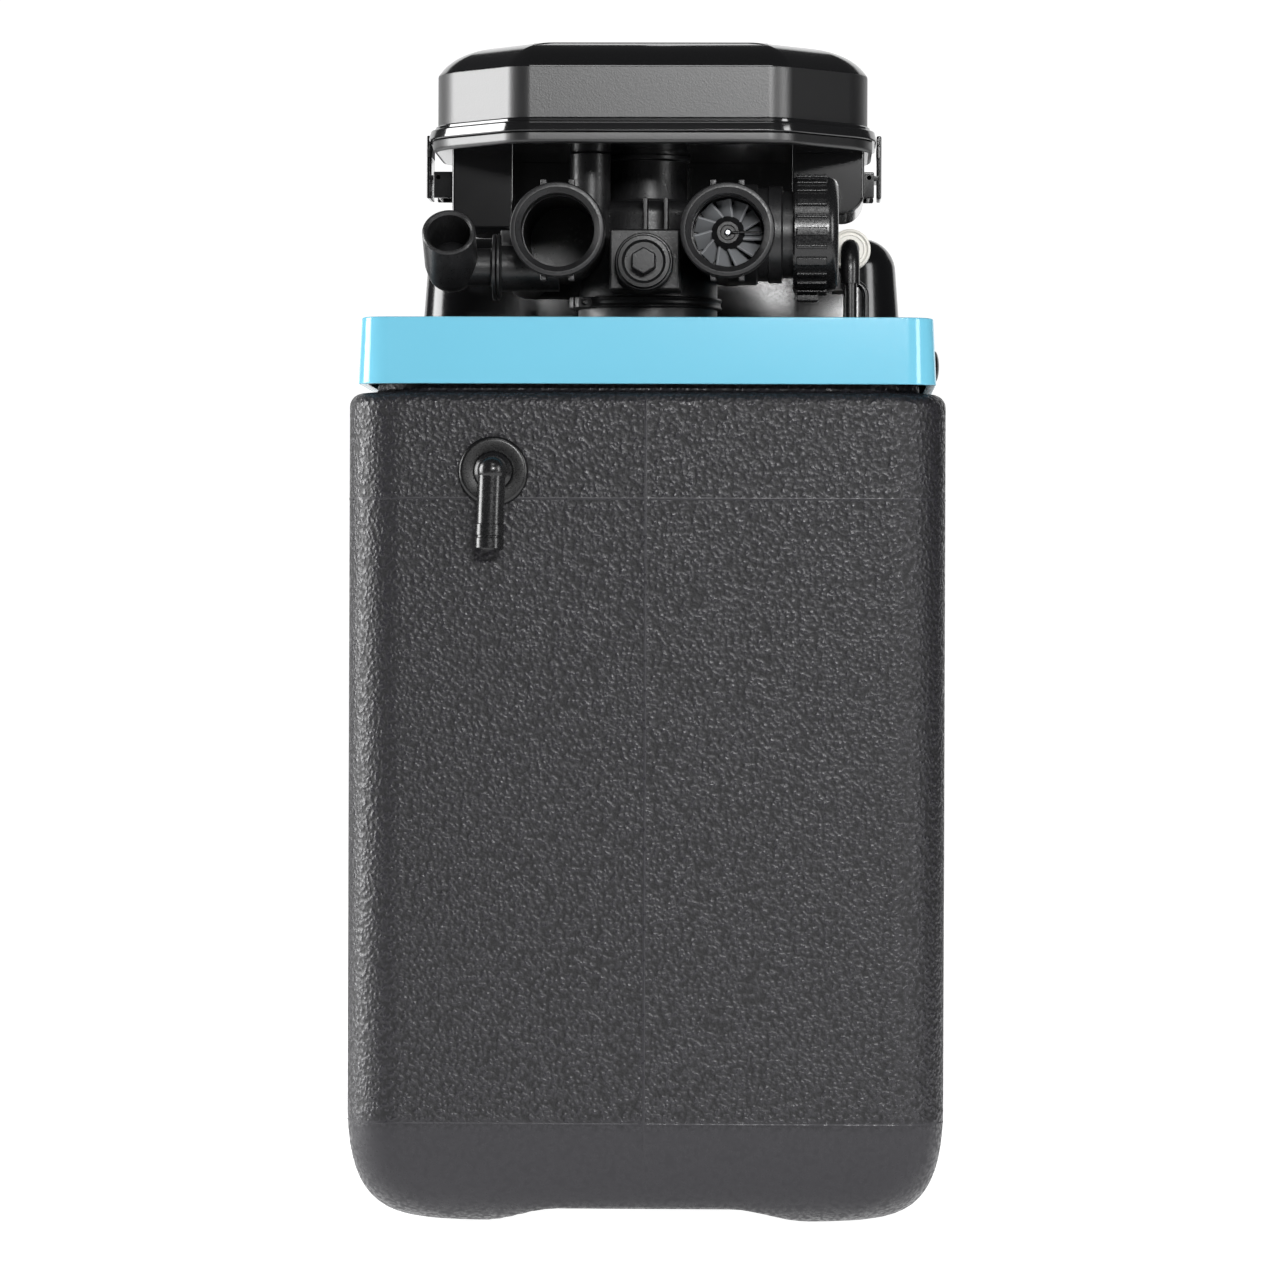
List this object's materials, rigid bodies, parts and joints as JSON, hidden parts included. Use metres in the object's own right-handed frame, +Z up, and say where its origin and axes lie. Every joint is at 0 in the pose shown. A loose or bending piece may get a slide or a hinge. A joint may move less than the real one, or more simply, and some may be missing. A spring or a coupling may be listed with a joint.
{
  "type": "water softener",
  "caption": "Compact cabinet water softener with a grained salt cabinet, hinged salt lid, resin tank, motor-driven valve head, inlet and outlet ports, drain elbow and overflow.",
  "frame": {"origin": "on the floor under the middle of the part's box", "axes": "+Z up, -Y towards the rear with the ports and the overflow, +X to the right seen from the rear"},
  "size_m": [0.259, 0.4884, 0.5156],
  "materials": {
    "cabinet_polyethylene": "grained blow moulding",
    "collar_blue": "gloss",
    "gloss_black": "gloss",
    "head_black": "fine grain, satin",
    "valve_black": "glass filled, satin",
    "rubber": "matt",
    "steel": "turned",
    "white_plastic": "satin",
    "tank_shell": "wound shell",
    "resin": "beads",
    "turbine_grey": "satin",
    "motor_case": "satin",
    "board_green": "solder mask",
    "window_glass": "gloss",
    "key_grey": "satin"
  },
  "bodies": {
    "frame": {"cabinet": "cabinet_polyethylene", "collar": "collar_blue", "collar_plugs": "rubber", "deck": "gloss_black", "lid_hinge_pins": "steel", "overflow_grommet": "rubber", "resin_tank": "tank_shell", "tank_base": "valve_black", "resin_bed": "resin", "riser_tube": "white_plastic", "lower_basket": "white_plastic", "upper_basket": "white_plastic", "neck_seal": "rubber", "neck_clamp": "valve_black", "brine_well": "white_plastic", "float_rod": "steel", "brine_valve": "valve_black", "brine_tube": "rubber", "brine_fitting": "valve_black", "sensor_lead": "rubber", "valve_body": "valve_black", "seal_stack": "rubber", "turbine_pin": "steel", "turbine_cage": "valve_black", "injector": "white_plastic", "injector_seal": "rubber", "drain_clip": "valve_black", "head_tray": "head_black", "head_gasket": "rubber", "latch_pins": "steel", "drive_motor": "motor_case", "tray_screws": "steel", "power_socket": "head_black"},
    "salt_lid": {"salt_lid": "gloss_black"},
    "overflow_elbow": {"overflow_elbow": "valve_black"},
    "drain_elbow": {"drain_elbow": "valve_black", "drain_seal": "rubber", "drain_flow_disc": "white_plastic"},
    "turbine": {"turbine": "turbine_grey"},
    "injector_nut": {"injector_nut": "valve_black"},
    "service_plug": {"service_plug": "valve_black", "plug_seal": "rubber"},
    "brine_nut": {"brine_nut": "white_plastic"},
    "left_latch": {"left_latch": "head_black"},
    "right_latch": {"right_latch": "head_black"},
    "head_cover": {"head_cover": "head_black", "circuit_board": "board_green", "display_window": "window_glass"},
    "key_1": {"key_1": "key_grey"},
    "key_2": {"key_2": "key_grey"},
    "key_3": {"key_3": "key_grey"},
    "drive_gear": {"drive_gear": "white_plastic"},
    "motor_pinion": {"motor_pinion": "steel"},
    "piston": {"piston": "white_plastic", "piston_rod": "steel"},
    "float": {"float": "white_plastic"},
    "brine_well_cap": {"brine_well_cap": "valve_black"}
  },
  "joints": [
    {"name": "lid_hinge", "type": "hinge", "parent": "frame", "child": "salt_lid", "pos_m": [0, 0.004, 0.392], "axis": [1, 0, 0], "range_deg": [0, 75]},
    {"name": "overflow_swivel", "type": "hinge", "parent": "frame", "child": "overflow_elbow", "pos_m": [-0.0656, -0.22575, 0.326], "axis": [0, 1, 0], "range_deg": [-90, 90]},
    {"name": "drain_swivel", "type": "hinge", "parent": "frame", "child": "drain_elbow", "pos_m": [-0.066, -0.19, 0.416], "axis": [1, 0, 0], "range_deg": [-60, 40]},
    {"name": "turbine_spin", "type": "hinge", "parent": "frame", "child": "turbine", "pos_m": [0.03475, -0.199, 0.4307], "axis": [0, 1, 0], "continuous": true},
    {"name": "injector_nut_turn", "type": "hinge", "parent": "frame", "child": "injector_nut", "pos_m": [0.07, -0.185, 0.4307], "axis": [1, 0, 0], "range_deg": [0, 360]},
    {"name": "plug_turn", "type": "hinge", "parent": "frame", "child": "service_plug", "pos_m": [-0.002, -0.192, 0.4185], "axis": [0, 1, 0], "range_deg": [0, 360]},
    {"name": "brine_nut_turn", "type": "hinge", "parent": "frame", "child": "brine_nut", "pos_m": [0.088, -0.15, 0.4265], "axis": [0, 1, 0], "range_deg": [0, 360]},
    {"name": "left_latch_swing", "type": "hinge", "parent": "frame", "child": "left_latch", "pos_m": [-0.0955, -0.115, 0.4596], "axis": [0, -1, 0], "range_deg": [0, 14]},
    {"name": "right_latch_swing", "type": "hinge", "parent": "frame", "child": "right_latch", "pos_m": [0.0965, -0.115, 0.4596], "axis": [0, 1, 0], "range_deg": [0, 14]},
    {"name": "cover_lift", "type": "slide", "parent": "frame", "child": "head_cover", "axis": [0, 0, 1], "range_m": [0, 0.06]},
    {"name": "key_1_press", "type": "slide", "parent": "head_cover", "child": "key_1", "axis": [0, 0, -1], "range_m": [0, 0.0015], "stiffness_N_per_m": 400},
    {"name": "key_2_press", "type": "slide", "parent": "head_cover", "child": "key_2", "axis": [0, 0, -1], "range_m": [0, 0.0015], "stiffness_N_per_m": 400},
    {"name": "key_3_press", "type": "slide", "parent": "head_cover", "child": "key_3", "axis": [0, 0, -1], "range_m": [0, 0.0015], "stiffness_N_per_m": 400},
    {"name": "piston_travel", "type": "slide", "parent": "frame", "child": "piston", "axis": [0, 0, 1], "range_m": [0, 0.012]},
    {"name": "drive_gear_turn", "type": "hinge", "parent": "frame", "child": "drive_gear", "pos_m": [-0.002, -0.126, 0.495], "axis": [0, 0, 1], "range_deg": [-1, 361]},
    {"name": "motor_pinion_turn", "type": "hinge", "parent": "frame", "child": "motor_pinion", "pos_m": [0.028, -0.126, 0.495], "axis": [0, 0, 1], "range_deg": [-1442, 2]},
    {"name": "float_rise", "type": "slide", "parent": "frame", "child": "float", "axis": [0, 0, 1], "range_m": [0, 0.15]},
    {"name": "well_cap_lift", "type": "slide", "parent": "frame", "child": "brine_well_cap", "axis": [0, 0, 1], "range_m": [0, 0.03]}
  ],
  "couplings": [
    {"joint": "drive_gear_turn", "follows": "piston_travel", "rad_per_m": 523.6},
    {"joint": "motor_pinion_turn", "follows": "piston_travel", "rad_per_m": -2094.4}
  ]
}
